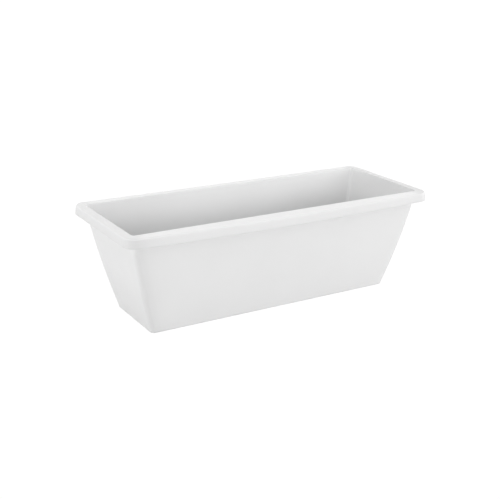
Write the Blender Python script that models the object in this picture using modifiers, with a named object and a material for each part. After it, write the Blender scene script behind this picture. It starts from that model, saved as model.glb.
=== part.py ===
"""A self-watering window planter: a tapered moulded trough with a lift-out watering insert.

Metres, +Z up. The origin is at the middle of the footprint, on the surface the planter stands on.
+X runs along the trough and -Y is its front. The trough's heel ring stands on Z = 0.
"""

import math

import bmesh
import bpy
from mathutils import Matrix, Vector

MM = 0.001
GAP = 0.3 * MM                      # clearance between pieces that touch

# Trough
HEIGHT = 185.4 * MM
WALL = 2.8 * MM
BASE_HALF = (241.5 * MM, 68.6 * MM)         # outside half length and half width at the base
WALL_TOP_HALF = (284.3 * MM, 97.5 * MM)     # the same, where the skirt's lower edge hangs
WALL_BOW = 2.2 * MM                         # how far the walls belly out half way up
WALL_CORNER = 8.5 * MM
INNER_CORNER = 5.0 * MM
BASE_ROUND = 3.5 * MM
HEEL_WIDTH = 9.0 * MM
HEEL_HEIGHT = 2.0 * MM
FLOOR_ROUND = 3.0 * MM

# Rolled rim: a channel open from below, its outer skirt hanging down all round
RIM_HALF = (301.3 * MM, 117.0 * MM)
RIM_CORNER = 20.0 * MM
RIM_ROUND = 3.5 * MM
LIP_ROUND = 1.0 * MM
SKIRT_DEPTH = 16.2 * MM
SKIRT_WALL = 2.5 * MM
SKIRT_DRAFT = 1.0 * MM                      # how much further out the skirt's lower edge stands
RIM_THICK = 3.0 * MM
FRONT_SAG = 3.4 * MM                        # the flange's outer edge hangs lower at mid span
BACK_SAG = 0.5 * MM
SKIRT_Z = HEIGHT - SKIRT_DEPTH

# Stiffening ribs under the base
RIB_WIDTH = 3.0 * MM
RIB_PITCH = 80.0 * MM
RIB_COUNT = 5

# Bosses through the back wall: X, Z, hole radius, boss radius, boss inner and outer Y
OVERFLOW_X = 150.0 * MM
OVERFLOW_Z = 52.0 * MM
OVERFLOW_HOLE = 6.0 * MM
OVERFLOW_BOSS = 9.0 * MM
OVERFLOW_INNER_Y = 76.8 * MM
OVERFLOW_OUTER_Y = 86.0 * MM
DRAIN_X = -150.0 * MM
DRAIN_Z = 17.0 * MM
DRAIN_HOLE = 5.0 * MM
DRAIN_BOSS = 8.0 * MM
DRAIN_INNER_Y = 70.0 * MM
DRAIN_OUTER_Y = 80.0 * MM
GASKET_THICK = 1.5 * MM

# Watering insert: a slotted false floor in two halves, on legs
FLOOR_Z = HEEL_HEIGHT + WALL
PLATE_Z = 57.5 * MM
PLATE_THICK = 2.5 * MM
PLATE_TOP = PLATE_Z + PLATE_THICK
PLATE_FIT = 1.0 * MM
PLATE_CORNER = 6.0 * MM
LIP_HEIGHT = 6.0 * MM
LIP_WALL = 2.0 * MM
LEG_FOOT = 6.0 * MM
LEG_HEAD = 8.0 * MM
LEG_X = (22.0 * MM, 106.0 * MM, 184.0 * MM)
LEG_Y = 52.0 * MM
TAB_LENGTH = 14.0 * MM
TAB_WIDTH = 12.0 * MM
TAB_THICK = 2.5 * MM
TAB_Y = 30.0 * MM
SLOT = (3.0 * MM, 15.0 * MM)
SLOT_PITCH = (15.0 * MM, 24.0 * MM)
SLOT_COLUMNS = 16
SLOT_ROWS = 6

# Soil cups that dip into the water
CUP_X = (-150.0 * MM, -62.0 * MM, 62.0 * MM, 150.0 * MM)
CUP_TOP = 29.0 * MM
CUP_FOOT = 20.0 * MM
CUP_WALL = 2.0 * MM
CUP_FLANGE = 33.0 * MM
CUP_SLOTS = 8
FLANGE_THICK = 2.0 * MM

# Filling shaft with a hinged lid, and the water gauge, both near the front wall
STATION_X = 215.0 * MM
STATION_Y = -46.0 * MM
SHAFT_RADIUS = 16.0 * MM
SHAFT_WALL = 2.5 * MM
SHAFT_TOP = 148.0 * MM
SHAFT_FLANGE = 21.0 * MM
NOTCH = (8.0 * MM, 12.0 * MM)
HINGE_REACH = 20.2 * MM
HINGE_Z = 149.8 * MM
PIN_RADIUS = 1.0 * MM
EAR_INNER = 4.0 * MM
EAR_OUTER = 6.5 * MM
LID_RADIUS = 17.0 * MM
LID_THICK = 3.0 * MM
GAUGE_RADIUS = 13.0 * MM
GAUGE_WALL = 2.0 * MM
GAUGE_TOP = 105.0 * MM
GAUGE_FLANGE = 18.0 * MM
GAUGE_FOOT = 8.0 * MM
CAP_TOP = 152.0 * MM
FLOAT_RADIUS = 10.2 * MM
FLOAT_BOTTOM = GAUGE_FOOT + 2.0 * MM + GAP
FLOAT_TOP = 38.0 * MM
STEM_RADIUS = 1.6 * MM

CORNER_STEPS = 6
LONG_STEPS = 10
SHORT_STEPS = 3
TURN_STEPS = 28
SMALL_STEPS = 16
MERGE = 0.00005

WHITE = (0.86, 0.86, 0.86)
PALE_GREY = (0.62, 0.63, 0.63)
MID_GREY = (0.30, 0.31, 0.32)
RED = (0.62, 0.05, 0.03)
CLEAR = (0.85, 0.90, 0.92)
BLACK = (0.03, 0.03, 0.03)


# --- scene helpers -----------------------------------------------------------------------------

def clear_scene():
    for obj in list(bpy.data.objects):
        bpy.data.objects.remove(obj, do_unlink=True)


def collection(name):
    made = bpy.data.collections.new(name)
    bpy.context.scene.collection.children.link(made)
    return made


def plastic(name, colour, roughness, transmission=0.0):
    material = bpy.data.materials.new(name)
    material.use_nodes = True
    shader = material.node_tree.nodes["Principled BSDF"]
    shader.inputs["Base Color"].default_value = (*colour, 1.0)
    shader.inputs["Roughness"].default_value = roughness
    shader.inputs["Metallic"].default_value = 0.0
    shader.inputs["Transmission Weight"].default_value = transmission
    return material


def add_part(name, mesh, colour, roughness, transmission=0.0):
    obj = bpy.data.objects.new(name, mesh)
    PARTS.objects.link(obj)
    mesh.materials.append(plastic(name, colour, roughness, transmission))
    return obj


def add_tool(name, mesh):
    """A helper solid that cuts or joins; it isn't a part of the object."""
    obj = bpy.data.objects.new(name, mesh)
    TOOLS.objects.link(obj)
    obj.hide_render = True
    obj.display_type = "WIRE"
    return obj


def boolean(target, tool, operation):
    step = target.modifiers.new(tool.name, "BOOLEAN")
    step.operation = operation
    step.object = tool
    step.solver = "EXACT"


def cut(target, tool):
    boolean(target, tool, "DIFFERENCE")


def join(target, tool):
    boolean(target, tool, "UNION")


def carrier(name, location):
    """An empty on a joint's axis, which carries the pieces that move with it."""
    empty = bpy.data.objects.new(name, None)
    empty.location = location
    empty.empty_display_size = 10.0 * MM
    PARTS.objects.link(empty)
    return empty


def attach(obj, empty):
    obj.parent = empty
    obj.matrix_parent_inverse = Matrix.Translation(-empty.location)


# --- shape helpers -----------------------------------------------------------------------------

def boxes_mesh(name, boxes):
    """Separate boxes in one mesh, each given as its low corner, high corner and turn about Z."""
    bm = bmesh.new()
    for low, high, turn in boxes:
        size = Vector(high) - Vector(low)
        middle = (Vector(high) + Vector(low)) / 2.0
        place = Matrix.Rotation(turn, 4, "Z") @ Matrix.Translation(middle)
        bmesh.ops.create_cube(bm, size=1.0, matrix=place @ Matrix.Diagonal((*size, 1.0)))
    mesh = bpy.data.meshes.new(name)
    bm.to_mesh(mesh)
    bm.free()
    return mesh


def posts_mesh(name, posts, steps):
    """Separate upright cones or cylinders: centre X and Y, low and high Z, low and high radius."""
    bm = bmesh.new()
    for x, y, low, high, low_radius, high_radius in posts:
        bmesh.ops.create_cone(
            bm, cap_ends=True, segments=steps, radius1=low_radius, radius2=high_radius,
            depth=high - low, matrix=Matrix.Translation((x, y, (low + high) / 2.0)))
    mesh = bpy.data.meshes.new(name)
    bm.to_mesh(mesh)
    bm.free()
    return mesh


def bar_mesh(name, x, z, low_y, high_y, radius, steps):
    """A round bar along Y."""
    bm = bmesh.new()
    place = Matrix.Translation((x, (low_y + high_y) / 2.0, z)) @ Matrix.Rotation(math.pi / 2.0, 4, "X")
    bmesh.ops.create_cone(bm, cap_ends=True, segments=steps, radius1=radius, radius2=radius,
                          depth=high_y - low_y, matrix=place)
    mesh = bpy.data.meshes.new(name)
    bm.to_mesh(mesh)
    bm.free()
    return mesh


def turned_mesh(name, profile, closed):
    """The half section of a turned shape: it runs down the outer side, radius along +X."""
    count = len(profile)
    edges = [(index, index + 1) for index in range(count - 1)]
    if closed:
        edges.append((count - 1, 0))
    mesh = bpy.data.meshes.new(name)
    mesh.from_pydata([(radius, 0.0, height) for radius, height in profile], edges, [])
    return mesh


def turn(obj, steps):
    screw = obj.modifiers.new("turn", "SCREW")
    screw.axis = "Z"
    screw.angle = 2.0 * math.pi
    screw.steps = steps
    screw.render_steps = steps
    screw.use_merge_vertices = True
    screw.merge_threshold = MERGE
    screw.use_smooth_shade = True


def turned(name, profile, steps, closed, colour, roughness, transmission=0.0):
    obj = add_part(name, turned_mesh(name, profile, closed), colour, roughness, transmission)
    turn(obj, steps)
    return obj


# --- trough ------------------------------------------------------------------------------------

def sag(x, y):
    """How far the flange's outer edge hangs at a point: most at mid span of the long sides."""
    span = RIM_HALF[0] - RIM_CORNER
    depth = FRONT_SAG if y < 0.0 else BACK_SAG
    return depth * max(0.0, math.cos(math.pi * x / (2.0 * span)))


def ring(half, corner, z, hangs=False):
    """One level outline of the trough, anticlockwise from above: four arcs and four sides."""
    points = []
    corners = ((1, 1), (-1, 1), (-1, -1), (1, -1))
    for index, (sign_x, sign_y) in enumerate(corners):
        centre = Vector((sign_x * (half[0] - corner), sign_y * (half[1] - corner)))
        for step in range(CORNER_STEPS + 1):
            angle = math.pi / 2.0 * (index + step / CORNER_STEPS)
            points.append(centre + Vector((math.cos(angle), math.sin(angle))) * corner)
        steps = LONG_STEPS if index % 2 == 0 else SHORT_STEPS
        next_x, next_y = corners[(index + 1) % 4]
        start = points[-1]
        turn_angle = math.pi / 2.0 * (index + 1)
        end = Vector((next_x * (half[0] - corner), next_y * (half[1] - corner)))
        end += Vector((math.cos(turn_angle), math.sin(turn_angle))) * corner
        points += [start.lerp(end, step / steps) for step in range(1, steps)]
    return [(p.x, p.y, z - (sag(p.x, p.y) if hangs else 0.0)) for p in points]


def wall_half(z, inset=0.0):
    """The wall's half length and half width at a height, measured outside, less an inset."""
    part = z / SKIRT_Z
    belly = WALL_BOW * math.sin(math.pi * part)
    return tuple(low + (high - low) * part + belly - inset for low, high in zip(BASE_HALF, WALL_TOP_HALF))


def shrink(half, amount):
    return (half[0] - amount, half[1] - amount)


def quarter(steps):
    """Sine and cosine along a quarter turn, both ends included."""
    angles = [math.pi / 2.0 * step / steps for step in range(steps + 1)]
    return [(math.sin(angle), math.cos(angle)) for angle in angles]


def trough_rings():
    """The trough's section as a stack of outlines: under the base, up outside, over, down inside."""
    rings = []
    recess = shrink(BASE_HALF, HEEL_WIDTH)
    rings.append(ring(recess, WALL_CORNER / 2.0, HEEL_HEIGHT))
    rings.append(ring(shrink(recess, -0.5 * MM), WALL_CORNER / 2.0, 0.0))
    for sine, cosine in quarter(3):
        half = shrink(wall_half(BASE_ROUND), BASE_ROUND * (1.0 - sine))
        rings.append(ring(half, WALL_CORNER - BASE_ROUND * (1.0 - sine), BASE_ROUND * (1.0 - cosine)))
    for level in range(1, 6):
        z = BASE_ROUND + (SKIRT_Z - BASE_ROUND) * level / 5.0
        rings.append(ring(wall_half(z), WALL_CORNER, z))
    underside = HEIGHT - RIM_THICK
    rings.append(ring(wall_half(underside), WALL_CORNER, underside))
    skirt_inner = shrink(RIM_HALF, SKIRT_WALL)
    rings.append(ring(shrink(skirt_inner, SKIRT_DRAFT), RIM_CORNER - SKIRT_WALL, underside, True))
    rings.append(ring(skirt_inner, RIM_CORNER - SKIRT_WALL, SKIRT_Z + 0.6 * MM, True))
    rings.append(ring(shrink(RIM_HALF, SKIRT_WALL - 0.7 * MM), RIM_CORNER - SKIRT_WALL, SKIRT_Z, True))
    rings.append(ring(shrink(RIM_HALF, 0.7 * MM), RIM_CORNER, SKIRT_Z, True))
    rings.append(ring(RIM_HALF, RIM_CORNER, SKIRT_Z + 0.7 * MM, True))
    crown = shrink(RIM_HALF, SKIRT_DRAFT)
    for sine, cosine in quarter(3):
        half = shrink(crown, RIM_ROUND * (1.0 - cosine))
        rings.append(ring(half, RIM_CORNER - RIM_ROUND * (1.0 - cosine),
                          HEIGHT - RIM_ROUND * (1.0 - sine), True))
    mouth = wall_half(HEIGHT - LIP_ROUND, WALL)
    for sine, cosine in quarter(3):
        half = shrink(mouth, -LIP_ROUND * (1.0 - sine))
        rings.append(ring(half, INNER_CORNER + LIP_ROUND * (1.0 - sine),
                          HEIGHT - LIP_ROUND * (1.0 - cosine)))
    floor_top = FLOOR_Z + FLOOR_ROUND
    for level in range(4, -1, -1):
        z = floor_top + (HEIGHT - LIP_ROUND - floor_top) * level / 5.0
        rings.append(ring(wall_half(z, WALL), INNER_CORNER, z))
    for sine, cosine in quarter(2)[1:]:
        half = shrink(wall_half(floor_top, WALL), FLOOR_ROUND * (1.0 - cosine))
        rings.append(ring(half, INNER_CORNER - FLOOR_ROUND * (1.0 - cosine),
                          floor_top - FLOOR_ROUND * sine))
    return rings


def loft(name, rings):
    """Skin a stack of outlines and close its first and last with a flat face."""
    bm = bmesh.new()
    levels = [[bm.verts.new(point) for point in outline] for outline in rings]
    count = len(levels[0])
    for lower, upper in zip(levels, levels[1:]):
        for index in range(count):
            after = (index + 1) % count
            bm.faces.new((lower[index], lower[after], upper[after], upper[index]))
    bm.faces.new(list(reversed(levels[0])))
    bm.faces.new(levels[-1])
    bmesh.ops.recalc_face_normals(bm, faces=bm.faces)
    mesh = bpy.data.meshes.new(name)
    bm.to_mesh(mesh)
    bm.free()
    mesh.shade_smooth()
    mesh.set_sharp_from_angle(angle=math.radians(40.0))
    return mesh


def make_ribs():
    reach = BASE_HALF[1] - HEEL_WIDTH / 2.0
    boxes = []
    for index in range(RIB_COUNT):
        x = (index - (RIB_COUNT - 1) / 2.0) * RIB_PITCH
        boxes.append(((x - RIB_WIDTH / 2.0, -reach, 0.4 * MM),
                      (x + RIB_WIDTH / 2.0, reach, HEEL_HEIGHT + 1.0 * MM), 0.0))
    return boxes_mesh("ribs", boxes)


def make_trough():
    trough = add_part("planter_box", loft("planter_box", trough_rings()), WHITE, 0.42)
    join(trough, add_tool("ribs", make_ribs()))
    reach = 12.0 * MM
    for name, x, z, hole, boss, inner_y, outer_y in (
            ("overflow", OVERFLOW_X, OVERFLOW_Z, OVERFLOW_HOLE, OVERFLOW_BOSS,
             OVERFLOW_INNER_Y, OVERFLOW_OUTER_Y),
            ("drain", DRAIN_X, DRAIN_Z, DRAIN_HOLE, DRAIN_BOSS, DRAIN_INNER_Y, DRAIN_OUTER_Y)):
        join(trough, add_tool(name + "_boss", bar_mesh(name, x, z, inner_y, outer_y, boss, TURN_STEPS)))
        cutter = bar_mesh(name, x, z, inner_y - reach, outer_y + reach, hole, TURN_STEPS)
        cut(trough, add_tool(name + "_hole", cutter))
    return trough


# --- false floor -------------------------------------------------------------------------------

def plate_outline(side, inset):
    """Plan of one half of the false floor: square at the joint, rounded at its outer corners."""
    half = wall_half(PLATE_Z, WALL + PLATE_FIT + inset)
    radius = PLATE_CORNER - inset
    points = []
    for sign_y, first in ((-1.0, -math.pi / 2.0), (1.0, 0.0)):
        centre = Vector((half[0] - radius, sign_y * (half[1] - radius)))
        for step in range(CORNER_STEPS + 1):
            angle = first + math.pi / 2.0 * step / CORNER_STEPS
            points.append(centre + Vector((math.cos(angle), math.sin(angle))) * radius)
    joint = GAP if inset == 0.0 else -5.0 * MM
    points += [Vector((joint, half[1])), Vector((joint, -half[1]))]
    return [(side * p.x, p.y) for p in points]


def slab(name, outline, low, high):
    """A flat outline raised into a plate."""
    curve = bpy.data.curves.new(name, "CURVE")
    curve.dimensions = "2D"
    curve.fill_mode = "BOTH"
    curve.extrude = (high - low) / 2.0
    spline = curve.splines.new("POLY")
    spline.points.add(len(outline) - 1)
    for point, (x, y) in zip(spline.points, outline):
        point.co = (x, y, 0.0, 1.0)
    spline.use_cyclic_u = True
    draft = bpy.data.objects.new(name, curve)
    draft.location = (0.0, 0.0, (low + high) / 2.0)
    bpy.context.scene.collection.objects.link(draft)
    bpy.context.view_layer.update()
    graph = bpy.context.evaluated_depsgraph_get()
    mesh = bpy.data.meshes.new_from_object(draft.evaluated_get(graph))
    mesh.transform(draft.matrix_world)
    bpy.data.objects.remove(draft, do_unlink=True)
    bm = bmesh.new()
    bm.from_mesh(mesh)
    bmesh.ops.remove_doubles(bm, verts=bm.verts, dist=MERGE)
    bmesh.ops.recalc_face_normals(bm, faces=bm.faces)
    bm.to_mesh(mesh)
    bm.free()
    mesh.name = name
    return mesh


def plate_holes(side):
    """The round openings of one half: centre X and Y, and radius."""
    holes = [(x, 0.0, CUP_TOP + GAP) for x in CUP_X if x * side > 0.0]
    pass_through = SHAFT_RADIUS if side > 0.0 else GAUGE_RADIUS
    holes.append((side * STATION_X, STATION_Y, pass_through + GAP))
    return holes


def leg_places(side):
    return [(side * x, y) for x in LEG_X for y in (-LEG_Y, LEG_Y)]


def plate_slots(side):
    """Air and drainage slots on a grid, wherever nothing else is in the way."""
    half = wall_half(PLATE_Z, WALL + PLATE_FIT + LIP_WALL)
    keep_clear = [(x, y, radius + 4.0 * MM) for x, y, radius in plate_holes(side)]
    keep_clear += [(x, y, LEG_HEAD + 1.0 * MM) for x, y in leg_places(side)]
    boxes = []
    for column in range(SLOT_COLUMNS):
        x = side * (column + 0.8) * SLOT_PITCH[0]
        for row in range(SLOT_ROWS):
            y = (row - (SLOT_ROWS - 1) / 2.0) * SLOT_PITCH[1]
            nearest = [max(0.0, abs(y - py) - SLOT[1] / 2.0) for px, py, radius in keep_clear]
            clear = all(math.hypot(x - px, gap_y) > radius + SLOT[0] / 2.0
                        for (px, py, radius), gap_y in zip(keep_clear, nearest))
            inside = abs(x) < half[0] - 6.0 * MM and abs(y) + SLOT[1] / 2.0 < half[1] - 2.0 * MM
            if clear and inside:
                boxes.append(((x - SLOT[0] / 2.0, y - SLOT[1] / 2.0, PLATE_Z - 2.0 * MM),
                              (x + SLOT[0] / 2.0, y + SLOT[1] / 2.0, PLATE_TOP + 2.0 * MM), 0.0))
    return boxes


def make_separator(name, side):
    rim_top = PLATE_TOP + LIP_HEIGHT
    plate = add_part(name, slab(name, plate_outline(side, 0.0), PLATE_Z, rim_top), PALE_GREY, 0.5)
    tray = slab(name + "_tray", plate_outline(side, LIP_WALL), PLATE_TOP, rim_top + 2.0 * MM)
    cut(plate, add_tool(name + "_tray", tray))
    legs = [(x, y, FLOOR_Z + GAP, PLATE_Z + 1.0 * MM, LEG_FOOT, LEG_HEAD) for x, y in leg_places(side)]
    join(plate, add_tool(name + "_legs", posts_mesh(name, legs, SMALL_STEPS)))
    holes = [(x, y, PLATE_Z - 5.0 * MM, rim_top, radius, radius) for x, y, radius in plate_holes(side)]
    cut(plate, add_tool(name + "_holes", posts_mesh(name, holes, TURN_STEPS)))
    cut(plate, add_tool(name + "_slots", boxes_mesh(name, plate_slots(side))))
    if side > 0.0:
        add_tabs(plate)
    return plate


def add_tabs(plate):
    """Two tongues that reach under the other half and lock the halves together."""
    tongues = []
    roots = []
    top = PLATE_Z - GAP
    for y in (-TAB_Y, TAB_Y):
        low_y = y - TAB_WIDTH / 2.0
        high_y = y + TAB_WIDTH / 2.0
        tongues.append(((-TAB_LENGTH, low_y, top - TAB_THICK), (6.0 * MM, high_y, top), 0.0))
        roots.append(((1.0 * MM, low_y + 1.0 * MM, top - 1.0 * MM),
                      (5.0 * MM, high_y - 1.0 * MM, PLATE_Z + 1.0 * MM), 0.0))
    join(plate, add_tool("tab_roots", boxes_mesh("tab_roots", roots)))
    join(plate, add_tool("tab_tongues", boxes_mesh("tab_tongues", tongues)))


# --- soil cups ---------------------------------------------------------------------------------

def cup_profile():
    top = PLATE_TOP + GAP + FLANGE_THICK
    foot = FLOOR_Z + 4.5 * MM
    return [(0.0, foot + CUP_WALL), (CUP_FOOT - CUP_WALL, foot + CUP_WALL), (CUP_TOP - CUP_WALL, top),
            (CUP_FLANGE, top), (CUP_FLANGE, top - FLANGE_THICK), (CUP_TOP, top - FLANGE_THICK),
            (CUP_FOOT, foot), (0.0, foot)]


def spokes(count, inner, outer, width, low, high):
    """Boxes that stand round an axis like spokes, to slot or notch a round wall."""
    return [((inner, -width / 2.0, low), (outer, width / 2.0, high), 2.0 * math.pi * index / count)
            for index in range(count)]


def make_cup(number, x):
    name = f"wick_cup_{number}"
    cup = turned(name, cup_profile(), 24, False, MID_GREY, 0.5)
    cup.location = (x, 0.0, 0.0)
    slots = spokes(CUP_SLOTS, 12.0 * MM, 34.0 * MM, 3.0 * MM, 17.0 * MM, 46.0 * MM)
    tool = add_tool(name + "_slots", boxes_mesh(name, slots))
    tool.location = cup.location
    cut(cup, tool)
    holes = [(0.0, 0.0)] + [(10.0 * MM * sx, 10.0 * MM * sy) for sx in (-1, 1) for sy in (-1, 1)]
    posts = [(hx, hy, FLOOR_Z, 16.0 * MM, 2.0 * MM, 2.0 * MM) for hx, hy in holes]
    drains = add_tool(name + "_holes", posts_mesh(name, posts, 8))
    drains.location = cup.location
    cut(cup, drains)
    return cup


# --- filling shaft and lid ---------------------------------------------------------------------

def tube_profile(outer, wall, low, high, flange):
    """A tube with a collar that rests on the false floor."""
    collar_low = PLATE_TOP + GAP
    collar_high = collar_low + FLANGE_THICK
    return [(outer - wall, high), (outer, high), (outer, collar_high), (flange, collar_high),
            (flange, collar_low), (outer, collar_low), (outer, low), (outer - wall, low)]


def make_shaft():
    profile = tube_profile(SHAFT_RADIUS, SHAFT_WALL, FLOOR_Z + GAP, SHAFT_TOP, SHAFT_FLANGE)
    shaft = turned("fill_shaft", profile, TURN_STEPS, True, PALE_GREY, 0.45)
    shaft.location = (STATION_X, STATION_Y, 0.0)
    notches = spokes(4, 8.0 * MM, 20.0 * MM, NOTCH[0], 0.0, FLOOR_Z + NOTCH[1])
    open_sides = notches[1:3]  # the two that face the open reservoir, away from the nearest walls
    tool = add_tool("shaft_notches", boxes_mesh("shaft_notches", open_sides))
    tool.location = shaft.location
    cut(shaft, tool)
    shelf = [((14.3 * MM, -EAR_OUTER, 138.0 * MM), (HINGE_REACH + 2.3 * MM, EAR_OUTER, 146.0 * MM), 0.0)]
    block = add_tool("hinge_shelf", boxes_mesh("hinge_shelf", shelf))
    block.location = shaft.location
    join(shaft, block)
    ears = []
    for low_y, high_y in ((-EAR_OUTER, -EAR_INNER), (EAR_INNER, EAR_OUTER)):
        ears.append(((HINGE_REACH - 2.3 * MM, low_y, 145.5 * MM),
                     (HINGE_REACH + 2.3 * MM, high_y, HINGE_Z + 2.1 * MM), 0.0))
    lugs = add_tool("hinge_ears", boxes_mesh("hinge_ears", ears))
    lugs.location = shaft.location
    join(shaft, lugs)
    bore = bar_mesh("hinge_bore", HINGE_REACH, HINGE_Z, -10.0 * MM, 10.0 * MM, PIN_RADIUS + GAP, SMALL_STEPS)
    drill = add_tool("hinge_bore", bore)
    drill.location = shaft.location
    cut(shaft, drill)
    return shaft


def lid_profile():
    low = SHAFT_TOP + GAP
    high = low + LID_THICK
    return [(0.0, high), (LID_RADIUS - 1.0 * MM, high), (LID_RADIUS, high - 1.0 * MM), (LID_RADIUS, low),
            (12.7 * MM, low), (12.7 * MM, low - 3.0 * MM), (11.2 * MM, low - 3.0 * MM),
            (11.2 * MM, low + 0.7 * MM), (0.0, low + 0.7 * MM)]


def make_lid():
    lid = turned("fill_lid", lid_profile(), TURN_STEPS, False, MID_GREY, 0.45)
    lid.location = (STATION_X, STATION_Y, 0.0)
    low = SHAFT_TOP + GAP
    width = 3.4 * MM
    arm = ((LID_RADIUS - 2.0 * MM, -width, low + 0.3 * MM), (HINGE_REACH, width, low + LID_THICK - 0.3 * MM), 0.0)
    grip = ((-LID_RADIUS - 4.0 * MM, -4.0 * MM, low + 0.8 * MM),
            (-LID_RADIUS + 2.0 * MM, 4.0 * MM, low + LID_THICK - 0.4 * MM), 0.0)
    plates = add_tool("lid_arm", boxes_mesh("lid_arm", [arm, grip]))
    plates.location = lid.location
    join(lid, plates)
    knuckle = add_tool("lid_knuckle", bar_mesh("lid_knuckle", HINGE_REACH, HINGE_Z, -EAR_INNER + GAP,
                                               EAR_INNER - GAP, 2.6 * MM, SMALL_STEPS))
    knuckle.location = lid.location
    join(lid, knuckle)
    bore = bar_mesh("lid_bore", HINGE_REACH, HINGE_Z, -10.0 * MM, 10.0 * MM, PIN_RADIUS + GAP, SMALL_STEPS)
    drill = add_tool("lid_bore", bore)
    drill.location = lid.location
    cut(lid, drill)
    return lid


def make_pin():
    mesh = bar_mesh("lid_pin", 0.0, 0.0, -EAR_OUTER, EAR_OUTER, PIN_RADIUS, SMALL_STEPS)
    pin = add_part("lid_pin", mesh, PALE_GREY, 0.4)
    pin.location = (STATION_X + HINGE_REACH, STATION_Y, HINGE_Z)
    return pin


# --- water gauge -------------------------------------------------------------------------------

def make_gauge_tube():
    profile = tube_profile(GAUGE_RADIUS, GAUGE_WALL, GAUGE_FOOT, GAUGE_TOP, GAUGE_FLANGE)
    inner = GAUGE_RADIUS - GAUGE_WALL
    profile += [(7.0 * MM, GAUGE_FOOT), (7.0 * MM, GAUGE_FOOT + 2.0 * MM), (inner, GAUGE_FOOT + 2.0 * MM)]
    del profile[7]
    tube = turned("gauge_tube", profile, TURN_STEPS, True, PALE_GREY, 0.45)
    tube.location = (-STATION_X, STATION_Y, 0.0)
    slots = add_tool("gauge_slots", boxes_mesh("gauge_slots", spokes(
        4, 8.0 * MM, 20.0 * MM, 4.0 * MM, GAUGE_FOOT + 5.0 * MM, GAUGE_FOOT + 25.0 * MM)))
    slots.location = tube.location
    cut(tube, slots)
    return tube


def make_gauge_cap():
    outer = GAUGE_RADIUS
    inner = outer - GAUGE_WALL
    socket = outer + GAP
    low = GAUGE_TOP - 6.5 * MM
    seat = GAUGE_TOP + GAP
    profile = [(0.0, CAP_TOP), (8.0 * MM, CAP_TOP - 0.5 * MM), (12.0 * MM, CAP_TOP - 3.0 * MM),
               (outer, CAP_TOP - 7.0 * MM), (outer, seat + 1.8 * MM), (socket + 1.6 * MM, seat + 0.6 * MM),
               (socket + 1.6 * MM, low), (socket, low), (socket, seat), (inner, seat),
               (inner, CAP_TOP - 7.0 * MM), (10.0 * MM, CAP_TOP - 4.6 * MM),
               (7.0 * MM, CAP_TOP - 2.4 * MM), (0.0, CAP_TOP - 2.0 * MM)]
    cap = turned("gauge_cap", profile, TURN_STEPS, False, CLEAR, 0.08, 0.9)
    cap.location = (-STATION_X, STATION_Y, 0.0)
    return cap


def make_float():
    bore = STEM_RADIUS + GAP
    depth = 12.0 * MM
    chamfer = 2.0 * MM
    profile = [(0.0, FLOAT_TOP - depth), (bore, FLOAT_TOP - depth), (bore, FLOAT_TOP),
               (FLOAT_RADIUS - chamfer, FLOAT_TOP), (FLOAT_RADIUS, FLOAT_TOP - chamfer),
               (FLOAT_RADIUS, FLOAT_BOTTOM + chamfer), (FLOAT_RADIUS - chamfer, FLOAT_BOTTOM),
               (0.0, FLOAT_BOTTOM)]
    body = turned("gauge_float", profile, TURN_STEPS, False, WHITE, 0.6)
    body.location = (-STATION_X, STATION_Y, 0.0)
    return body


def make_stem():
    flag_low = GAUGE_TOP + 1.0 * MM
    flag_high = flag_low + 7.0 * MM
    flag = 8.5 * MM
    foot = FLOAT_TOP - 12.0 * MM + GAP
    profile = [(0.0, flag_high), (flag - 2.0 * MM, flag_high), (flag, flag_high - 1.5 * MM),
               (flag, flag_low + 1.0 * MM), (flag - 2.0 * MM, flag_low), (STEM_RADIUS, flag_low),
               (STEM_RADIUS, foot), (0.0, foot)]
    stem = turned("gauge_stem", profile, SMALL_STEPS, False, RED, 0.4)
    stem.location = (-STATION_X, STATION_Y, 0.0)
    return stem


# --- plugs in the back wall --------------------------------------------------------------------

def lay_along_y(obj, x, z):
    obj.location = (x, 0.0, z)
    obj.rotation_euler = (-math.pi / 2.0, 0.0, 0.0)


def plug_profile(stem, inner_end, seat, head, head_thick, knob):
    """A push-in plug: tapered nose, stem, head that seats outside, and a knob to pull."""
    top = seat + head_thick
    return [(0.0, top + 4.0 * MM), (knob - 1.0 * MM, top + 4.0 * MM), (knob, top + 3.0 * MM),
            (knob, top), (head - 0.8 * MM, top), (head, top - 0.8 * MM), (head, seat), (stem, seat),
            (stem, inner_end + 2.0 * MM), (stem - 1.2 * MM, inner_end), (0.0, inner_end)]


def make_overflow_stopper():
    profile = plug_profile(OVERFLOW_HOLE - GAP, OVERFLOW_INNER_Y + GAP, OVERFLOW_OUTER_Y + GAP,
                           OVERFLOW_BOSS, 2.2 * MM, 4.0 * MM)
    stopper = turned("overflow_stopper", profile, TURN_STEPS, False, MID_GREY, 0.6)
    lay_along_y(stopper, OVERFLOW_X, OVERFLOW_Z)
    return stopper


def make_drain_plug():
    seat = DRAIN_OUTER_Y + GASKET_THICK + 2.0 * GAP
    profile = plug_profile(DRAIN_HOLE - GAP, 67.5 * MM, seat, DRAIN_BOSS, 2.2 * MM, 3.5 * MM)
    plug = turned("drain_plug", profile, TURN_STEPS, False, MID_GREY, 0.5)
    lay_along_y(plug, DRAIN_X, DRAIN_Z)
    low = DRAIN_OUTER_Y + GAP
    high = low + GASKET_THICK
    inner = DRAIN_HOLE
    outer = DRAIN_BOSS - 0.4 * MM
    gasket = turned("drain_gasket", [(inner, high), (outer, high), (outer, low), (inner, low)],
                    TURN_STEPS, True, BLACK, 0.7)
    lay_along_y(gasket, DRAIN_X, DRAIN_Z)
    return plug, gasket


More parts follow.
